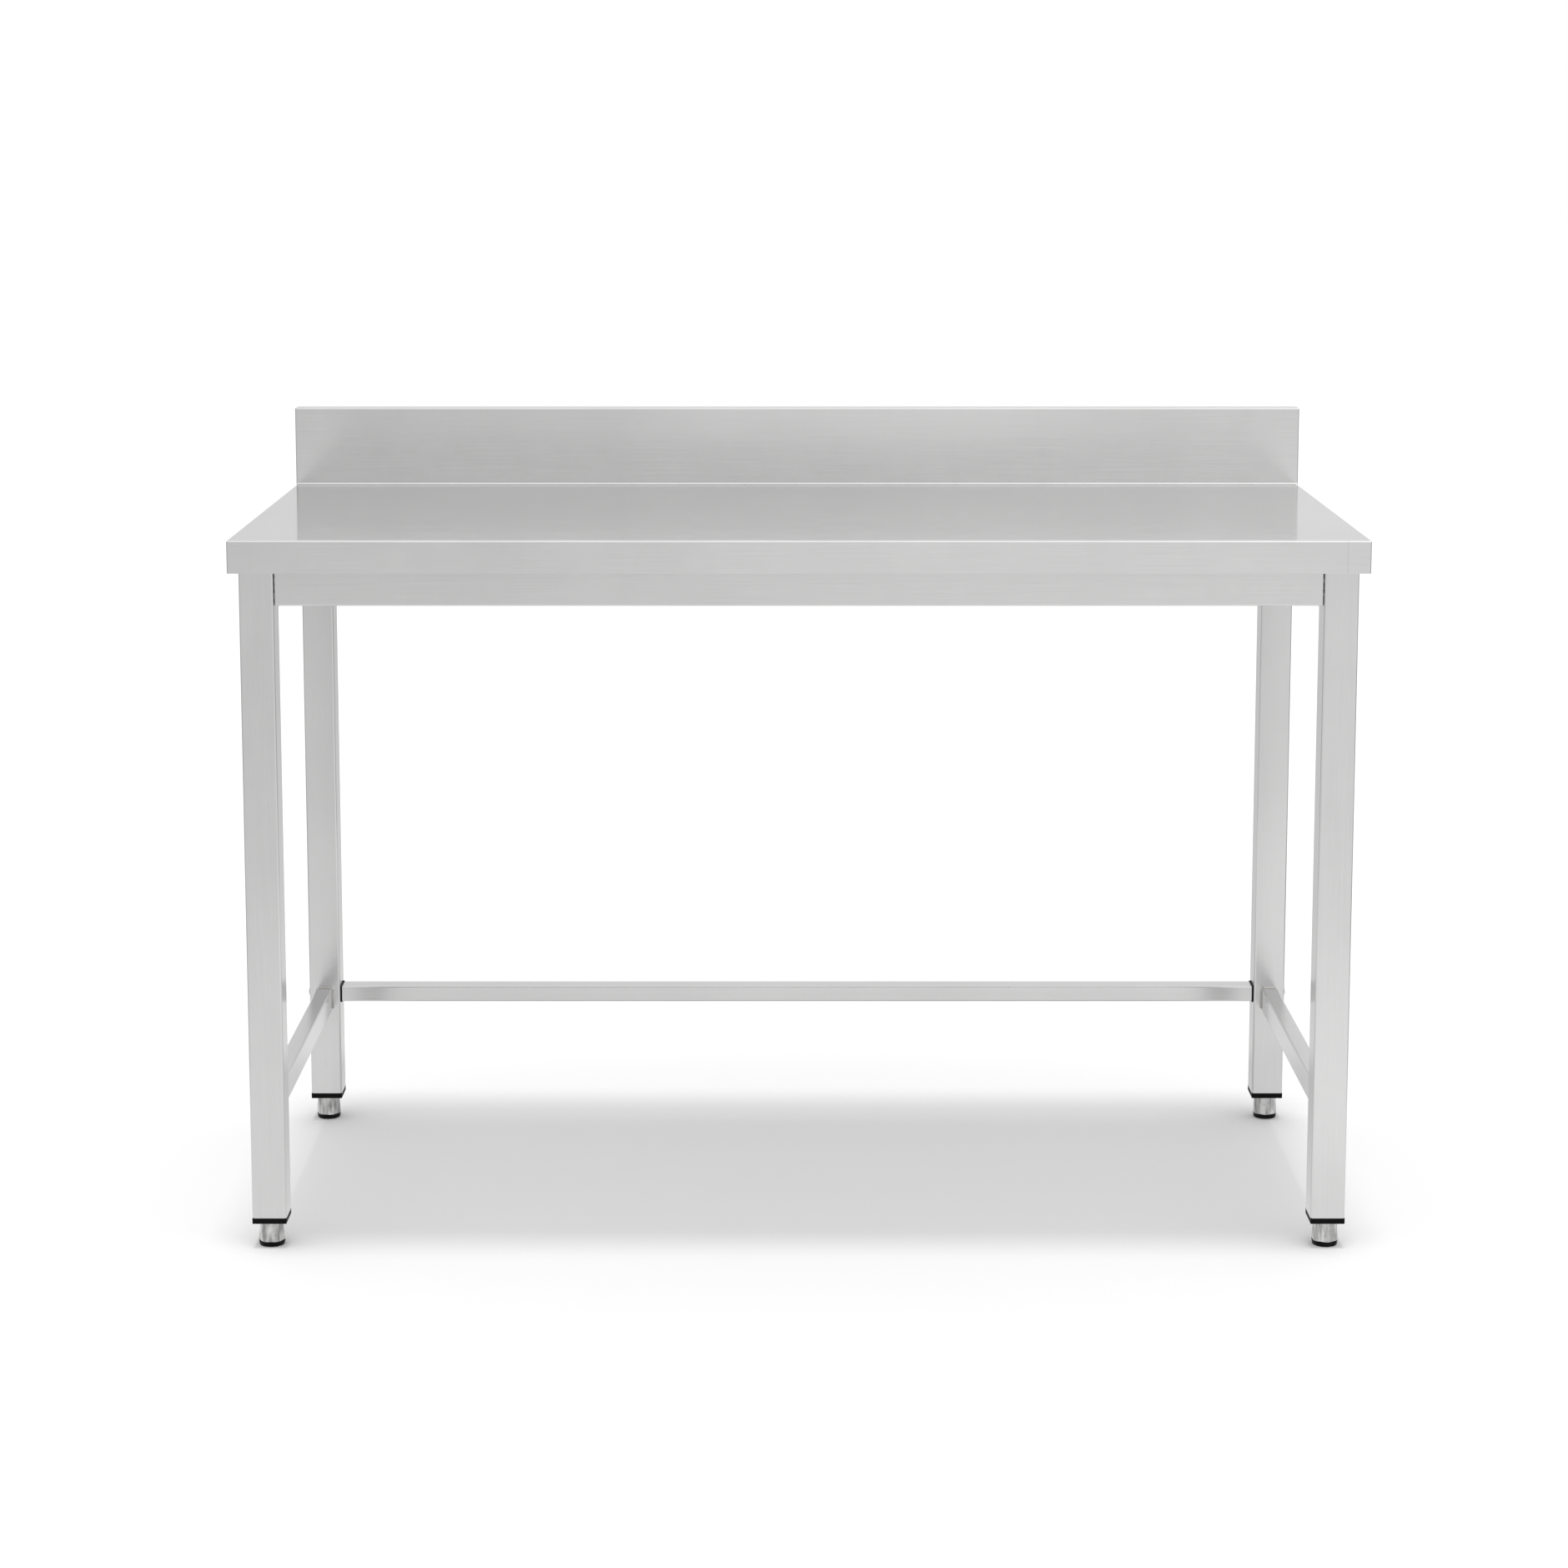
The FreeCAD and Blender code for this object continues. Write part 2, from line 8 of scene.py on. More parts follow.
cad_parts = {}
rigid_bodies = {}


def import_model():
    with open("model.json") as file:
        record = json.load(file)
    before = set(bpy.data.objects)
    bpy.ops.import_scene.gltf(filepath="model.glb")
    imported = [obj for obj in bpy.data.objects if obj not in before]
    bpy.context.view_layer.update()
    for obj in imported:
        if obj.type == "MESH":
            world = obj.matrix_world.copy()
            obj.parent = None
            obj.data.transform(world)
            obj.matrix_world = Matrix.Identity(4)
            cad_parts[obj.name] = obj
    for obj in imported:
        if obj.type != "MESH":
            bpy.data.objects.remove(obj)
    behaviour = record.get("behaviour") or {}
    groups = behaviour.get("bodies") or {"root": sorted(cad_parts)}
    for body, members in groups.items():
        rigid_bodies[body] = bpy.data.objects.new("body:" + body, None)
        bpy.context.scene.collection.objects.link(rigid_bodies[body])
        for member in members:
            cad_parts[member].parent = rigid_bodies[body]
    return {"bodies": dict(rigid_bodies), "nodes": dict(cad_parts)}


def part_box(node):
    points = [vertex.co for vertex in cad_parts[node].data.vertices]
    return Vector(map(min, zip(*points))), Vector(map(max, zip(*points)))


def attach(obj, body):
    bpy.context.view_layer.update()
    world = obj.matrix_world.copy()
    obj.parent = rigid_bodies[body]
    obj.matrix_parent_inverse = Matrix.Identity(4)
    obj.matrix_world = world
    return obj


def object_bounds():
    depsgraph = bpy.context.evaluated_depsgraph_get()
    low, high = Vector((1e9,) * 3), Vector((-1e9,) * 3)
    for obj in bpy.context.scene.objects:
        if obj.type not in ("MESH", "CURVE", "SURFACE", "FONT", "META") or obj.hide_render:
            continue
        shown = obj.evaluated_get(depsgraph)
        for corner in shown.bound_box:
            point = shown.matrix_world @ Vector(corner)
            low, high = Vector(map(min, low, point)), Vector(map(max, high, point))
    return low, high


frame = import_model()
cad_low, cad_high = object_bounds()

# Looks of a stainless work table: brushed steel with its grain along each sheet and tube, black
# moulded plastic, weld beads where the frame is welded, and a pale studio around it.
# Sizes are in metres, with +X to the right, +Y to the back and +Z up, as in the frame.

nodes = frame["nodes"]
TABLE = "table"
CORNERS = [f"{end}_{side}" for end in ("front", "rear") for side in ("left", "right")]
SIDES = ("left", "right")


# Node helpers

NOISE_START, NOISE_END = 0.3, 0.7


def new_material(name):
    """A material with an empty node tree and its shader."""
    material = bpy.data.materials.new(name)
    material.use_nodes = True
    tree = material.node_tree
    tree.nodes.clear()
    output = tree.nodes.new("ShaderNodeOutputMaterial")
    shader = tree.nodes.new("ShaderNodeBsdfPrincipled")
    tree.links.new(shader.outputs["BSDF"], output.inputs["Surface"])
    return material, tree, shader


def place_of(tree):
    """The point on the surface, in the frame's own coordinates."""
    return tree.nodes.new("ShaderNodeTexCoord").outputs["Object"]


def feed(tree, socket, value):
    """Sets a socket to a number, a vector or another node's output."""
    if isinstance(value, bpy.types.NodeSocket):
        tree.links.new(value, socket)
    else:
        socket.default_value = value


def math_node(tree, operation, *values):
    node = tree.nodes.new("ShaderNodeMath")
    node.operation = operation
    for socket, value in zip(node.inputs, values):
        feed(tree, socket, value)
    return node.outputs[0]


def product(tree, first, *others):
    for other in others:
        first = math_node(tree, "MULTIPLY", first, other)
    return first


def vector_node(tree, operation, *values):
    node = tree.nodes.new("ShaderNodeVectorMath")
    node.operation = operation
    for socket, value in zip(node.inputs, values):
        feed(tree, socket, value)
    return node.outputs["Value" if operation in ("DOT_PRODUCT", "LENGTH") else "Vector"]


def scaled(tree, colour, factor):
    """A colour times a factor that varies over the surface."""
    node = tree.nodes.new("ShaderNodeVectorMath")
    node.operation = "SCALE"
    node.inputs[0].default_value = colour[:3]
    feed(tree, node.inputs["Scale"], factor)
    return node.outputs["Vector"]


def split(tree, vector):
    """A vector's X, Y and Z."""
    parts = tree.nodes.new("ShaderNodeSeparateXYZ")
    feed(tree, parts.inputs["Vector"], vector)
    return parts.outputs


def mixed(tree, kind, factor, first, second):
    """Mixes two numbers, vectors or colours."""
    node = tree.nodes.new("ShaderNodeMix")
    node.data_type = kind
    sockets = [socket for socket in node.inputs if socket.enabled]
    for socket, value in zip(sockets, (factor, first, second)):
        feed(tree, socket, value)
    return next(socket for socket in node.outputs if socket.enabled)


def ramp(tree, value, low, high, start=0.0, end=1.0):
    """Maps value from start..end to low..high, and holds it there beyond them."""
    node = tree.nodes.new("ShaderNodeMapRange")
    for name, number in (("From Min", start), ("From Max", end), ("To Min", low), ("To Max", high)):
        node.inputs[name].default_value = number
    feed(tree, node.inputs["Value"], value)
    return node.outputs["Result"]


def slope(tree, value, low, high, reach):
    """Goes from low to high as value goes from -reach to reach."""
    return ramp(tree, value, low, high, -reach, reach)


def varied(tree, noise_value, low, high):
    """Maps the part of a noise's range that it mostly keeps to, to low..high."""
    return ramp(tree, noise_value, low, high, NOISE_START, NOISE_END)


def noise_node(tree, vector, scale, detail=2.0, roughness=0.5):
    node = tree.nodes.new("ShaderNodeTexNoise")
    feed(tree, node.inputs["Vector"], vector)
    node.inputs["Scale"].default_value = scale
    node.inputs["Detail"].default_value = detail
    node.inputs["Roughness"].default_value = roughness
    return node.outputs["Fac"]


def bump(tree, height, distance, normal=None):
    node = tree.nodes.new("ShaderNodeBump")
    node.inputs["Distance"].default_value = distance
    feed(tree, node.inputs["Height"], height)
    if normal is not None:
        feed(tree, node.inputs["Normal"], normal)
    return node.outputs["Normal"]


def grey(level, warmth=0.0):
    return (level * (1 + warmth), level, level * (1 - warmth), 1.0)


# Materials

AXES = {"X": Vector((1, 0, 0)), "Y": Vector((0, 1, 0)), "Z": Vector((0, 0, 1))}
# How a face that looks along the grain is brushed. It counts as one when the cosine of the angle
# between the two is over END_FACE.
ACROSS = {"X": "Y", "Y": "X", "Z": "X"}
END_FACE = 0.7
GRAIN_LENGTH = 0.12
FINE_GRAIN = 0.0004
COARSE_GRAIN = 0.003
GRAIN_HEIGHT = 0.000005
WAVE_HEIGHT = 0.0006
# Added to a tangent, which would vanish where the grain runs straight into the surface.
NUDGE = (0.0002, 0.0001, 0.0003)
# The front skirt's seams: how far they lie from its ends, half their width, where they have faded
# out, how much darker the left and the right one are, and how far back from the front they reach.
SEAM_INSET = 0.027
SEAM_HALF, SEAM_FADED = 0.0003, 0.0008
SEAM_LEFT, SEAM_RIGHT = 0.03, 0.10
SEAM_REACH = 0.004
# Noise cells per metre along X, Y and Z, for marks rubbed upright and for turning marks.
RUBBED = (170.0, 170.0, 35.0)
TURNED = (40.0, 40.0, 2600.0)
SLEEVE_DENTS = 0.00025
SLEEVE_SCRATCHES = 0.00002
PORE_DEPTH = 0.00003
# Plastic and rubber that barely shine.
BLACK_SHINE = 0.06
WELD_GREY = (0.50, 0.49, 0.47, 1)
WELD_STRAW = (0.60, 0.585, 0.56, 1)


def stretched(tree, place, axis, width):
    """Coordinates that make a noise of scale 1 into streaks of that width along an axis."""
    scale = Vector(1 / width for _ in range(3))
    scale["XYZ".index(axis)] = 1 / GRAIN_LENGTH
    return vector_node(tree, "MULTIPLY", place, scale)


def brushed_steel(name, grain, level=0.62, roughness=0.19, anisotropy=0.75, seams=False):
    """Steel brushed along an axis. A face that looks along that axis is brushed across it."""
    material, tree, shader = new_material(name)
    place = place_of(tree)
    normal = tree.nodes.new("ShaderNodeNewGeometry").outputs["Normal"]

    facing = math_node(tree, "ABSOLUTE", vector_node(tree, "DOT_PRODUCT", normal, AXES[grain]))
    end_face = math_node(tree, "GREATER_THAN", facing, END_FACE)
    along = mixed(tree, "VECTOR", end_face, AXES[grain], AXES[ACROSS[grain]])

    def streaks(width, detail):
        lengthwise = noise_node(tree, stretched(tree, place, grain, width), 1.0, detail)
        crosswise = noise_node(tree, stretched(tree, place, ACROSS[grain], width), 1.0, detail)
        return mixed(tree, "FLOAT", end_face, lengthwise, crosswise)

    fine = streaks(FINE_GRAIN, detail=3.0)
    coarse = streaks(COARSE_GRAIN, detail=2.0)
    clouds = noise_node(tree, place, scale=7.0, detail=3.0)
    smears = noise_node(tree, place, scale=32.0, detail=4.0, roughness=0.6)

    shade = product(tree, varied(tree, fine, 0.972, 1.028), varied(tree, coarse, 0.992, 1.008),
                    varied(tree, clouds, 0.975, 1.02), varied(tree, smears, 0.985, 1.01))
    if seams:
        shade = product(tree, shade, corner_seams(tree, place))
    feed(tree, shader.inputs["Base Color"], scaled(tree, grey(level, 0.002), shade))

    rough = math_node(tree, "ADD", varied(tree, fine, -0.02, 0.03), ramp(tree, smears, -0.02, 0.03))
    feed(tree, shader.inputs["Roughness"], math_node(tree, "ADD", rough, roughness))
    shader.inputs["Metallic"].default_value = 1.0
    shader.inputs["Anisotropic"].default_value = anisotropy
    across = vector_node(tree, "CROSS_PRODUCT", normal, along)
    feed(tree, shader.inputs["Tangent"], vector_node(tree, "ADD", across, NUDGE))

    waves = bump(tree, noise_node(tree, place, scale=5.0, detail=1.0), WAVE_HEIGHT)
    feed(tree, shader.inputs["Normal"], bump(tree, fine, GRAIN_HEIGHT, waves))
    return material


def corner_seams(tree, place):
    """The front skirt's two welded seams, ground flush, as fine darker lines near its ends."""
    seam_x = cad_high.x - SEAM_INSET
    x, y, _ = split(tree, place)
    past_seam = math_node(tree, "SUBTRACT", math_node(tree, "ABSOLUTE", x), seam_x)
    on_seam = ramp(tree, math_node(tree, "ABSOLUTE", past_seam), 1.0, 0.0, SEAM_HALF, SEAM_FADED)
    # The left one is ground nearly invisible.
    depth = slope(tree, x, SEAM_LEFT, SEAM_RIGHT, reach=0.1)
    in_front = math_node(tree, "LESS_THAN", y, cad_low.y + SEAM_REACH)
    return math_node(tree, "SUBTRACT", 1.0, product(tree, on_seam, depth, in_front))


def drawn_steel(name, level=0.42):
    """The drawn steel of the foot sleeves, a little dented, dull in patches and rubbed upright."""
    material, tree, shader = new_material(name)
    place = place_of(tree)
    normal = tree.nodes.new("ShaderNodeNewGeometry").outputs["Normal"]
    upright_marks = vector_node(tree, "MULTIPLY", place, RUBBED)
    rubbed = noise_node(tree, upright_marks, scale=1.0, detail=3.0, roughness=0.55)
    turned = noise_node(tree, vector_node(tree, "MULTIPLY", place, TURNED), scale=1.0, detail=2.0)
    patches = noise_node(tree, place, scale=120.0, detail=3.0, roughness=0.6)
    dents = noise_node(tree, place, scale=95.0, detail=1.0)
    shade = product(tree, varied(tree, rubbed, 0.5, 1.55), varied(tree, patches, 0.8, 1.15),
                    varied(tree, turned, 0.96, 1.04))
    feed(tree, shader.inputs["Base Color"], scaled(tree, grey(level, 0.006), shade))
    feed(tree, shader.inputs["Roughness"], varied(tree, patches, 0.16, 0.32))
    shader.inputs["Metallic"].default_value = 1.0
    shader.inputs["Anisotropic"].default_value = 0.6
    around = vector_node(tree, "CROSS_PRODUCT", normal, AXES["Z"])
    upright = vector_node(tree, "CROSS_PRODUCT", normal, around)
    feed(tree, shader.inputs["Tangent"], vector_node(tree, "ADD", upright, NUDGE))
    dented = bump(tree, dents, SLEEVE_DENTS)
    feed(tree, shader.inputs["Normal"], bump(tree, rubbed, SLEEVE_SCRATCHES, dented))
    return material


def fastener_steel(name):
    """Bright rolled and turned steel."""
    material, tree, shader = new_material(name)
    place = place_of(tree)
    marks = noise_node(tree, place, scale=900.0, detail=3.0)
    stains = noise_node(tree, place, scale=120.0, detail=3.0)
    feed(tree, shader.inputs["Base Color"], scaled(tree, grey(0.55, 0.01), varied(tree, stains, 0.8, 1.15)))
    feed(tree, shader.inputs["Roughness"], varied(tree, marks, 0.2, 0.4))
    shader.inputs["Metallic"].default_value = 1.0
    feed(tree, shader.inputs["Normal"], bump(tree, marks, distance=0.00002))
    return material


def moulded(name, level, roughness, pores):
    """Black moulded plastic or rubber, with that many fine pores per metre."""
    material, tree, shader = new_material(name)
    place = place_of(tree)
    fine = noise_node(tree, place, scale=pores, detail=2.0)
    broad = noise_node(tree, place, scale=90.0, detail=3.0)
    feed(tree, shader.inputs["Base Color"], scaled(tree, grey(level), varied(tree, broad, 0.7, 1.4)))
    feed(tree, shader.inputs["Roughness"], varied(tree, fine, roughness - 0.08, roughness + 0.08))
    shader.inputs["Specular IOR Level"].default_value = BLACK_SHINE
    feed(tree, shader.inputs["Normal"], bump(tree, fine, PORE_DEPTH))
    return material


def weld_metal(name):
    """Bare weld beads, duller than the sheet, with a faint straw tint."""
    material, tree, shader = new_material(name)
    place = place_of(tree)
    marks = noise_node(tree, place, scale=600.0, detail=3.0)
    straw = ramp(tree, noise_node(tree, place, scale=70.0, detail=2.0), 0, 1, start=0.35, end=0.65)
    feed(tree, shader.inputs["Base Color"], mixed(tree, "RGBA", straw, WELD_GREY, WELD_STRAW))
    feed(tree, shader.inputs["Roughness"], varied(tree, marks, 0.28, 0.45))
    shader.inputs["Metallic"].default_value = 1.0
    feed(tree, shader.inputs["Normal"], bump(tree, marks, distance=0.00003))
    return material


def give(material, *names):
    """Gives CAD nodes a material."""
    for name in names:
        data = nodes[name].data
        data.materials.clear()
        data.materials.append(material)


steel_x = brushed_steel("steel_grain_x", "X")
steel_y = brushed_steel("steel_grain_y", "Y")
steel_z = brushed_steel("steel_grain_z", "Z", roughness=0.16)
steel_top = brushed_steel("steel_worktop", "X", level=0.64, roughness=0.13, seams=True)
bright = fastener_steel("fastener_steel")
sleeve_steel = drawn_steel("sleeve_steel")
black_plastic = moulded("black_plastic", level=0.004, roughness=0.5, pores=2500.0)
pad_rubber = moulded("pad_rubber", level=0.006, roughness=0.75, pores=1500.0)

give(steel_top, "worktop")
give(steel_x, "front_rail", "rear_rail", "rear_stretcher")
give(steel_y, "left_rail", "right_rail", "left_stretcher", "right_stretcher")
give(steel_y, *(f"stiffener_{name}" for name in ("left", "middle", "right")))
give(steel_z, *(f"leg_{corner}" for corner in CORNERS))
give(sleeve_steel, *(f"foot_sleeve_{corner}" for corner in CORNERS))
give(bright, *(f"foot_{piece}_{corner}" for piece in ("spindle", "nut") for corner in CORNERS))
give(bright, "leg_rivet_nuts", "rail_bolt_washers", "rail_bolts", "stiffener_nuts",
     "worktop_screw_washers", "worktop_screws", "stretcher_bolts", "stretcher_nuts")
give(black_plastic, *(f"stretcher_plug_{side}" for side in SIDES))
give(black_plastic, *(f"foot_{piece}_{corner}" for piece in ("insert", "core") for corner in CORNERS))
give(pad_rubber, *(f"foot_pad_{corner}" for corner in CORNERS))


# Weld beads, where the side rails and the side stretchers meet the legs

BEAD_RADIUS = 0.0018
BEAD_INSET = 0.002
RIPPLE = 0.0013
STEPS_PER_RIPPLE = 4
ARC_STEPS = 6
# Shares of the bead's radius: how deep its ripples are, how far it swells and shrinks along the run,
# how much flatter than round it is, how thick its ends are, and how fast they thicken.
RIPPLE_DEPTH = 0.09
WANDER = 0.12
FLATNESS = 0.18
END_THICKNESS = 0.25
END_GROWTH = 4
WANDERS_PER_METRE = 160
weld_steel = weld_metal("weld_steel")


def add_bead(mesh, start, end, first_side, second_side):
    """Adds a rippled fillet weld from start to end, in the corner between two faces.

    first_side and second_side point from the corner along the two faces.
    """
    length = (end - start).length
    steps = round(STEPS_PER_RIPPLE * length / RIPPLE)
    rings = []
    for step in range(steps + 1):
        share = step / steps
        centre = start.lerp(end, share)
        from_end = min(share, 1 - share) * length
        taper = min(1.0, END_THICKNESS + END_GROWTH * from_end / BEAD_RADIUS)
        ripple = RIPPLE_DEPTH * abs(math.sin(math.pi * share * length / RIPPLE))
        wander = WANDER * noise.noise(centre * WANDERS_PER_METRE)
        radius = BEAD_RADIUS * (1 + wander - ripple) * taper
        ring = [mesh.verts.new(centre)]
        for index in range(ARC_STEPS + 1):
            turn = math.pi / 2 * index / ARC_STEPS
            crown = 1 - FLATNESS * math.sin(2 * turn)
            outwards = math.cos(turn) * first_side + math.sin(turn) * second_side
            ring.append(mesh.verts.new(centre + radius * crown * outwards))
        rings.append(ring)
    for before, after in zip(rings, rings[1:]):
        for index in range(len(before)):
            other = (index + 1) % len(before)
            mesh.faces.new((before[index], before[other], after[other], after[index]))
    mesh.faces.new(reversed(rings[0]))
    mesh.faces.new(rings[-1])


def weld_end(name, node, away, faces):
    """Beads round one end of a bar that runs along Y, on the given faces.

    away is the direction along Y from the leg to the bar.
    """
    low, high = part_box(node)
    end_y = low.y if away == 1 else high.y
    bottom, top = low.z + BEAD_INSET, high.z - BEAD_INSET
    left, right = low.x + BEAD_INSET, high.x - BEAD_INSET
    runs = {
        "left": ((low.x, end_y, bottom), (low.x, end_y, top), (-1, 0, 0)),
        "right": ((high.x, end_y, bottom), (high.x, end_y, top), (1, 0, 0)),
        "under": ((left, end_y, low.z), (right, end_y, low.z), (0, 0, -1)),
        "over": ((left, end_y, high.z), (right, end_y, high.z), (0, 0, 1)),
    }
    mesh = bmesh.new()
    for face in faces:
        start, end, sideways = (Vector(values) for values in runs[face])
        add_bead(mesh, start, end, sideways, Vector((0, away, 0)))
    bmesh.ops.recalc_face_normals(mesh, faces=mesh.faces)
    for face in mesh.faces:
        face.smooth = len(face.verts) == 4
    data = bpy.data.meshes.new(name)
    mesh.to_mesh(data)
    mesh.free()
    data.materials.append(weld_steel)
    piece = bpy.data.objects.new(name, data)
    bpy.context.scene.collection.objects.link(piece)
    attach(piece, TABLE)


for side, inner in (("left", "right"), ("right", "left")):
    for end, away in (("front", 1), ("rear", -1)):
        weld_end(f"weld_{side}_stretcher_{end}", f"{side}_stretcher", away,
                 ("left", "right", "under", "over"))
        weld_end(f"weld_{side}_rail_{end}", f"{side}_rail", away, (inner, "under"))


# Studio: a white floor and a white world, as the camera sees them. What the steel mirrors is a
# softer room: a floor that is greyer in the table's shadow and away from it, a ceiling that is
# brightest part of the way up, duller walls at both sides, and a little more light from the right
# and from the front.

FLOOR_SIZE = 60.0
FLOOR_WHITE = 0.86
FLOOR_REACH = 10.0
# How bright the mirrored floor is, from the table, at 0, to FLOOR_REACH away, at 1.
FLOOR_IN_FRONT = ((0.0, 1.10), (0.13, 1.10), (0.24, 0.97), (0.40, 0.94), (0.70, 0.90), (1.0, 0.87))
FLOOR_BEHIND = ((0.0, 0.95), (0.07, 0.88), (0.15, 0.80), (0.35, 0.73), (1.0, 0.70))
# The table's shadow in it: its brightness, how wide its edge is, and how far back it lies.
SHADOW = 0.72
SHADOW_EDGE = 0.15
SHADOW_BACK = 0.15
# Far away the floor is brighter straight ahead than at the sides. The places are metres from the
# middle, and the pool comes in from POOL_FROM to POOL_FULL of FLOOR_REACH.
POOL_AHEAD, POOL_BESIDE = 1.08, 0.93
POOL_START, POOL_END = 0.3, 1.8
POOL_FROM, POOL_FULL = 0.66, 0.82
# How bright the mirrored room is, from the horizon, at 0, to straight up, at 1.
ROOM = ((0.0, 0.80), (0.14, 0.80), (0.30, 0.84), (0.48, 1.05), (0.64, 1.20), (0.78, 1.45), (0.90, 1.20),
        (1.0, 0.85))
BRIGHTEST = 2.0
# Factors at the left and at the right, and how far from the middle they are reached: in metres on
# the floor, and as a direction's share along X in the room.
FLOOR_SIDES_IN_FRONT = (0.93, 1.07, 0.8)
FLOOR_SIDES_BEHIND = (1.12, 0.88, 1.5)
ROOM_SIDES_IN_FRONT = (0.92, 1.38, 0.3)
ROOM_SIDES_BEHIND = (0.98, 1.10, 0.3)
# How far from the middle "in front" and "behind" are reached, in the same terms along Y.
FLOOR_TURN = 0.8
ROOM_TURN = 0.3
# The side walls' factor, and the shares along X between which it sets in. On the floor it counts
# from WALLS_FROM metres away.
SIDE_WALLS = 0.7
WALL_START, WALL_END = 0.80, 0.97
WALLS_FROM = 1.5


def levels(tree, value, stops):
    """A brightness that follows value through the stops, as a share of BRIGHTEST."""
    node = tree.nodes.new("ShaderNodeValToRGB")
    elements = node.color_ramp.elements
    while len(elements) < len(stops):
        elements.new(0.5)
    for element, (where, level) in zip(elements, stops):
        element.position = where
        element.color = grey(level / BRIGHTEST)
    feed(tree, node.inputs["Fac"], value)
    return node.outputs["Color"]


def mirrored_only(tree, seen, mirrored):
    """One shader for what is seen or lit directly, another for what shiny pieces mirror."""
    mix = tree.nodes.new("ShaderNodeMixShader")
    feed(tree, mix.inputs[0], tree.nodes.new("ShaderNodeLightPath").outputs["Is Glossy Ray"])
    tree.links.new(seen, mix.inputs[1])
    tree.links.new(mirrored, mix.inputs[2])
    output = next(node for node in tree.nodes if node.type.startswith("OUTPUT"))
    tree.links.new(mix.outputs[0], output.inputs["Surface"])


def outside(tree, value, edge):
    """0 up to an edge on both sides of zero, rising to 1 over SHADOW_EDGE."""
    return ramp(tree, math_node(tree, "ABSOLUTE", value), 0, 1, edge, edge + SHADOW_EDGE)


def wall_dimming(tree, sideways):
    """1, or less towards the two sides. sideways is a direction's share along X."""
    return ramp(tree, math_node(tree, "ABSOLUTE", sideways), 1.0, SIDE_WALLS, WALL_START, WALL_END)


def floor_material():
    material, tree, shader = new_material("floor")
    shader.inputs["Base Color"].default_value = grey(FLOOR_WHITE)
    shader.inputs["Roughness"].default_value = 1.0
    shader.inputs["Specular IOR Level"].default_value = 0.0
    place = place_of(tree)
    x, y, _ = split(tree, place)
    length = vector_node(tree, "LENGTH", place)
    away = math_node(tree, "DIVIDE", length, FLOOR_REACH)
    back_share = slope(tree, y, 0, 1, FLOOR_TURN)
    level = mixed(tree, "RGBA", back_share, levels(tree, away, FLOOR_IN_FRONT),
                  levels(tree, away, FLOOR_BEHIND))

    sides = mixed(tree, "FLOAT", back_share, slope(tree, x, *FLOOR_SIDES_IN_FRONT),
                  slope(tree, x, *FLOOR_SIDES_BEHIND))
    off_middle = math_node(tree, "ABSOLUTE", x)
    ahead = ramp(tree, off_middle, POOL_AHEAD, POOL_BESIDE, POOL_START, POOL_END)
    pool = mixed(tree, "FLOAT", ramp(tree, away, 0, 1, POOL_FROM, POOL_FULL), 1.0, ahead)

    out_in_x = outside(tree, x, cad_high.x - SHADOW_EDGE)
    out_in_y = outside(tree, math_node(tree, "SUBTRACT", y, SHADOW_BACK), cad_high.y)
    shadow = ramp(tree, math_node(tree, "MAXIMUM", out_in_x, out_in_y), SHADOW, 1.0)
    far_enough = math_node(tree, "MAXIMUM", length, WALLS_FROM)
    walls = wall_dimming(tree, math_node(tree, "DIVIDE", x, far_enough))

    glow = tree.nodes.new("ShaderNodeEmission")
    feed(tree, glow.inputs["Color"], level)
    feed(tree, glow.inputs["Strength"], product(tree, sides, pool, shadow, walls, BRIGHTEST))
    mirrored_only(tree, shader.outputs["BSDF"], glow.outputs[0])
    return material


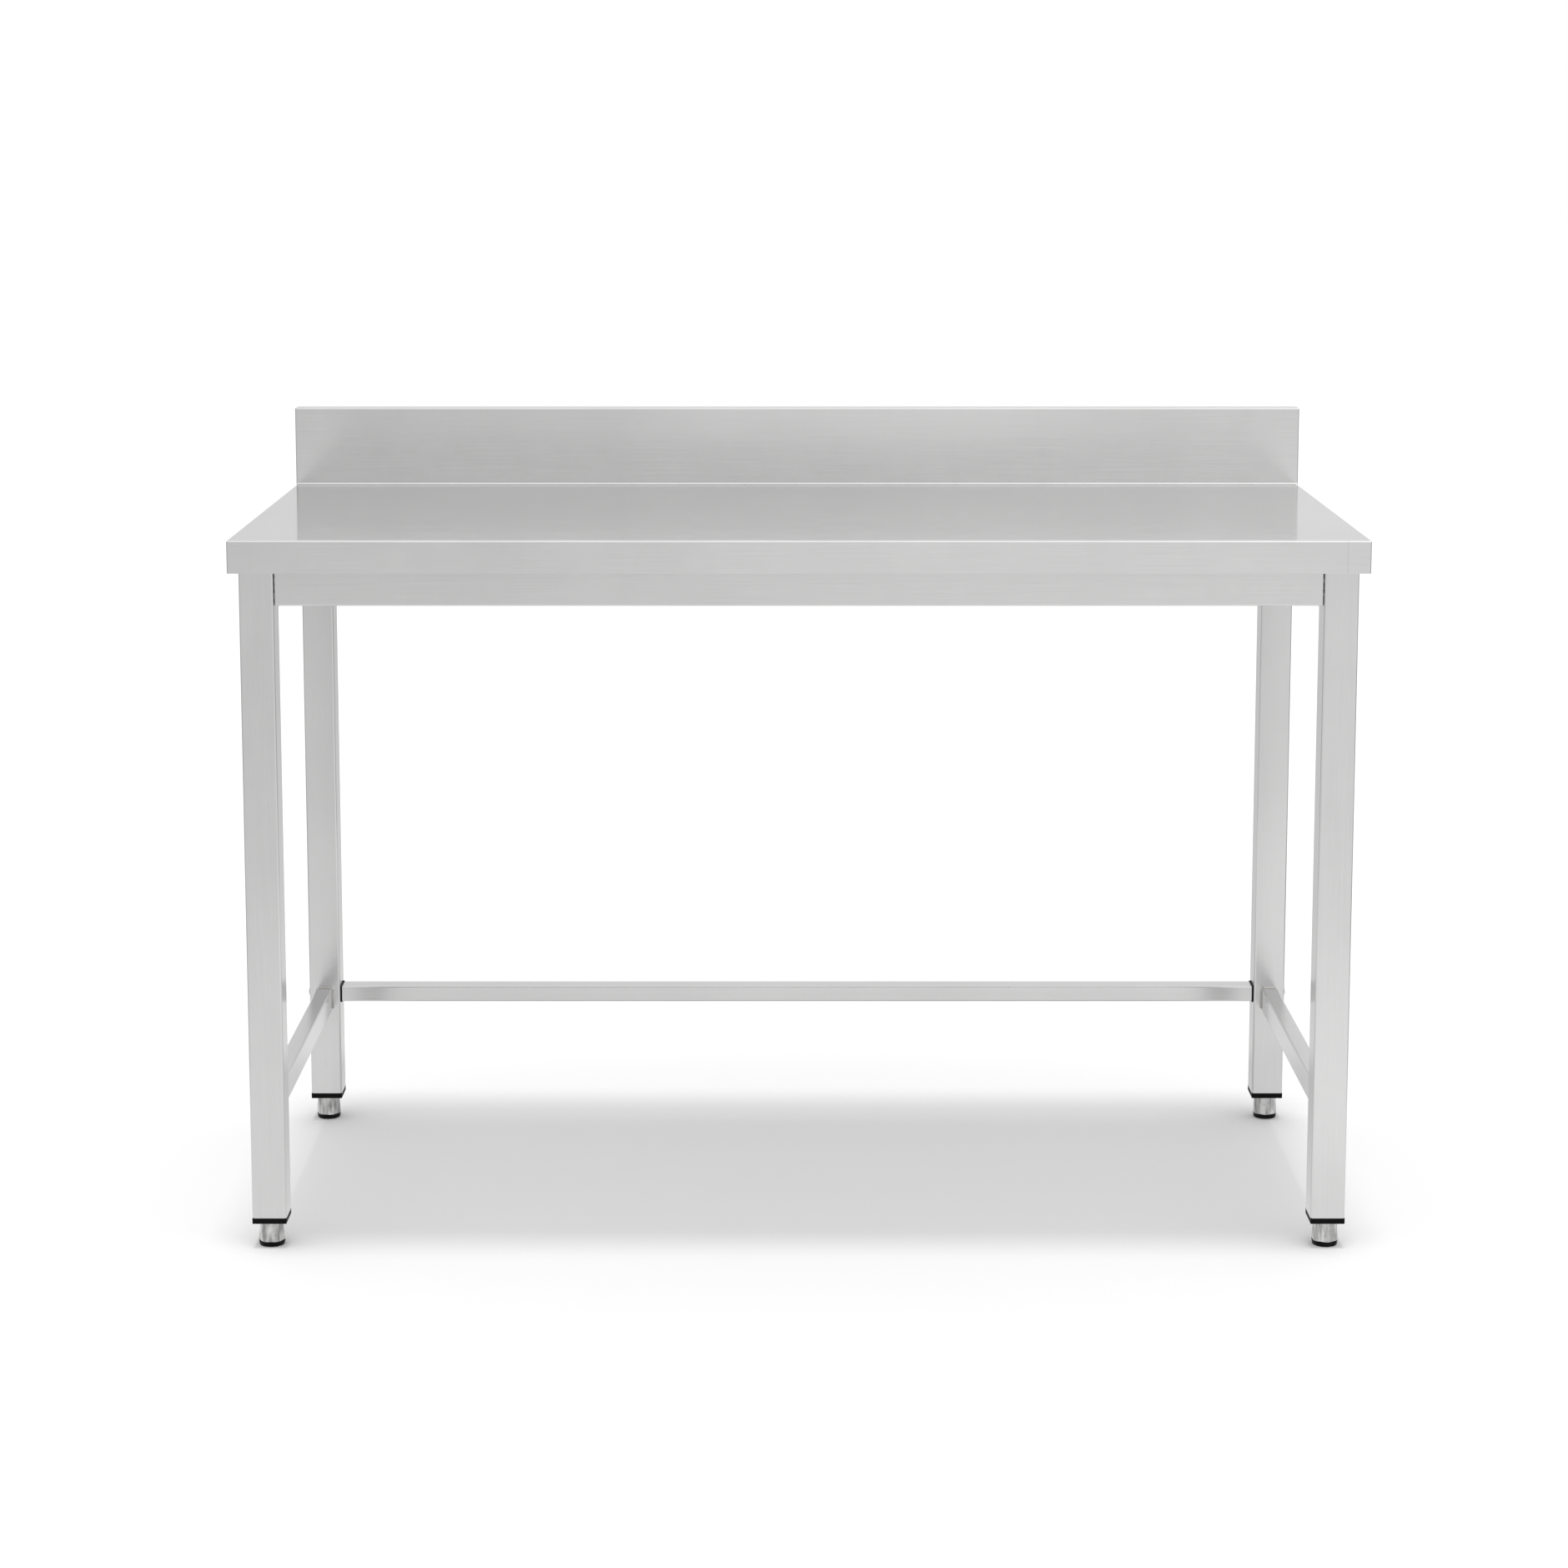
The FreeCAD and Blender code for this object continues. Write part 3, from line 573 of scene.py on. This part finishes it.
# The floor starts above the table, and each floor pad's body presses it down to the pad's own
# level, so it lies under the lowest foot at every pose. At rest that is the model's lowest point.
bpy.ops.mesh.primitive_plane_add(size=FLOOR_SIZE, location=(0, 0, cad_high.z))
floor = bpy.context.object
floor.name = "floor"
floor.data.materials.append(floor_material())
for corner in CORNERS:
    pressing = floor.constraints.new("FLOOR")
    pressing.target = frame["bodies"][f"glide_{corner}"]
    pressing.floor_location = "FLOOR_NEGATIVE_Z"
    pressing.offset = cad_low.z


def make_world():
    world = bpy.data.worlds.new("studio")
    bpy.context.scene.world = world
    world.use_nodes = True
    tree = world.node_tree
    seen = tree.nodes["Background"]
    seen.inputs["Color"].default_value = grey(1.0)
    x, y, z = split(tree, tree.nodes.new("ShaderNodeTexCoord").outputs["Generated"])
    mirrored = tree.nodes.new("ShaderNodeBackground")
    feed(tree, mirrored.inputs["Color"], levels(tree, z, ROOM))
    back_share = slope(tree, y, 0, 1, ROOM_TURN)
    sides = mixed(tree, "FLOAT", back_share, slope(tree, x, *ROOM_SIDES_IN_FRONT),
                  slope(tree, x, *ROOM_SIDES_BEHIND))
    feed(tree, mirrored.inputs["Strength"], product(tree, sides, wall_dimming(tree, x), BRIGHTEST))
    mirrored_only(tree, seen.outputs[0], mirrored.outputs[0])


make_world()

# The overhead lamp leans a little, so that the table's shadow reaches further back. The steel
# doesn't mirror it.
lamp_data = bpy.data.lights.new("overhead", "SUN")
lamp_data.energy = 0.95
lamp_data.angle = math.radians(8)
overhead = bpy.data.objects.new("overhead", lamp_data)
overhead.rotation_euler = (math.radians(2.5), 0, 0)
overhead.visible_glossy = False
bpy.context.scene.collection.objects.link(overhead)

bpy.context.scene.view_settings.view_transform = "Standard"


# Camera, in front of the table and a little above it, looking down by CAMERA_DOWN degrees

CAMERA_DOWN = 8.12
camera_data = bpy.data.cameras.new("camera")
camera_data.lens = 80.3
camera_data.sensor_width = 36.0
camera_data.shift_y = -0.12
camera = bpy.data.objects.new("camera", camera_data)
camera.location = (-0.017, -4.234, 1.338)
camera.rotation_euler = (math.radians(90 - CAMERA_DOWN), 0, 0)
bpy.context.scene.collection.objects.link(camera)
bpy.context.scene.camera = camera
